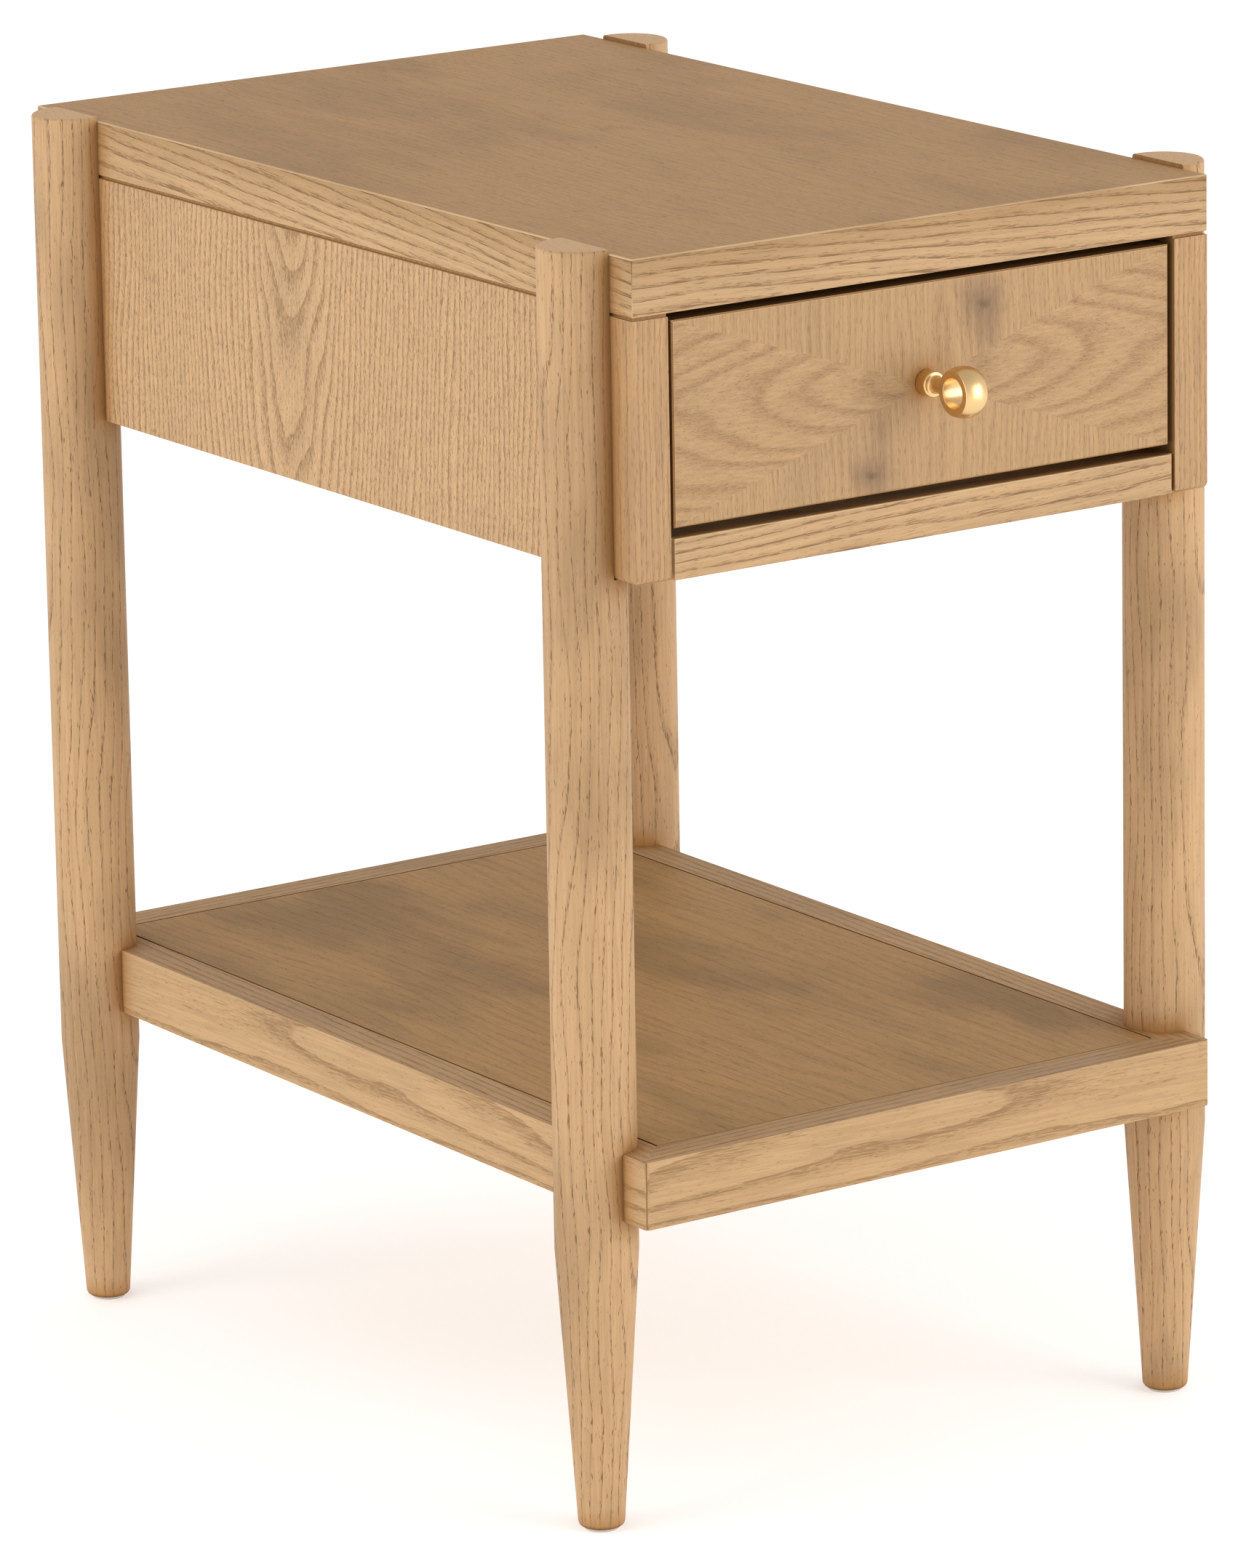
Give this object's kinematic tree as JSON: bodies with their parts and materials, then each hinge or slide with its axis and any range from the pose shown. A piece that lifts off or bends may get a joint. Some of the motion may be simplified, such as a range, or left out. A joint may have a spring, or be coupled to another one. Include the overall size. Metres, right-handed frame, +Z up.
{
  "type": "side table with drawer",
  "caption": "Oak side table with round tapered legs, a drawer on metal slides with a ring knob, and a lower framed shelf.",
  "frame": {"origin": "on the floor, under the middle of the whole table's box, knob included", "axes": "+X to the right seen from the front, -Y out of the drawer front, +Z up"},
  "size_m": [0.389, 0.5802, 0.635],
  "materials": {
    "oak_solid": "satin lacquer over solid light oak",
    "oak_veneer": "satin lacquer over oak veneer",
    "inner_wood": "plain sanded hardwood and plywood",
    "satin_brass": "satin",
    "zinc_steel": "bright zinc plate",
    "glide_nylon": "matte, pale grey"
  },
  "bodies": {
    "table": {"top_veneer": "oak_veneer", "top_core": "oak_veneer", "top_edge_front": "oak_solid", "top_edge_back": "oak_solid", "top_edge_left": "oak_solid", "top_edge_right": "oak_solid", "front_post_left": "oak_solid", "front_post_right": "oak_solid", "back_post_left": "oak_solid", "back_post_right": "oak_solid", "side_panel_left": "oak_veneer", "side_panel_right": "oak_veneer", "back_panel": "oak_veneer", "drawer_rail": "oak_solid", "rail_dowels": "inner_wood", "top_stretcher_front": "inner_wood", "top_stretcher_back": "inner_wood", "top_screws": "zinc_steel", "leg_front_left": "oak_solid", "leg_front_right": "oak_solid", "leg_back_left": "oak_solid", "leg_back_right": "oak_solid", "leg_bolts": "zinc_steel", "foot_glides": "glide_nylon", "shelf_panel": "oak_veneer", "shelf_rail_front": "oak_solid", "shelf_rail_back": "oak_solid", "shelf_rail_left": "oak_solid", "shelf_rail_right": "oak_solid", "shelf_dowels": "inner_wood", "slide_outer_left": "zinc_steel", "slide_outer_right": "zinc_steel"},
    "slide_middles": {"slide_middle_left": "zinc_steel", "slide_middle_right": "zinc_steel"},
    "drawer": {"drawer_front": "oak_veneer", "drawer_box_front": "inner_wood", "drawer_side_left": "inner_wood", "drawer_side_right": "inner_wood", "drawer_back": "inner_wood", "drawer_bottom": "inner_wood", "drawer_front_screws": "zinc_steel", "slide_inner_left": "zinc_steel", "slide_inner_right": "zinc_steel", "knob_stem": "satin_brass", "knob_ring": "satin_brass", "knob_screw": "zinc_steel"}
  },
  "joints": [
    {"name": "drawer_slide", "type": "slide", "parent": "table", "child": "drawer", "axis": [0, -1, 0], "range_m": [0, 0.34]},
    {"name": "slide_middles_run", "type": "slide", "parent": "table", "child": "slide_middles", "axis": [0, -1, 0], "range_m": [0, 0.17]}
  ],
  "couplings": [
    {"joint": "slide_middles_run", "follows": "drawer_slide", "ratio": 0.5}
  ]
}
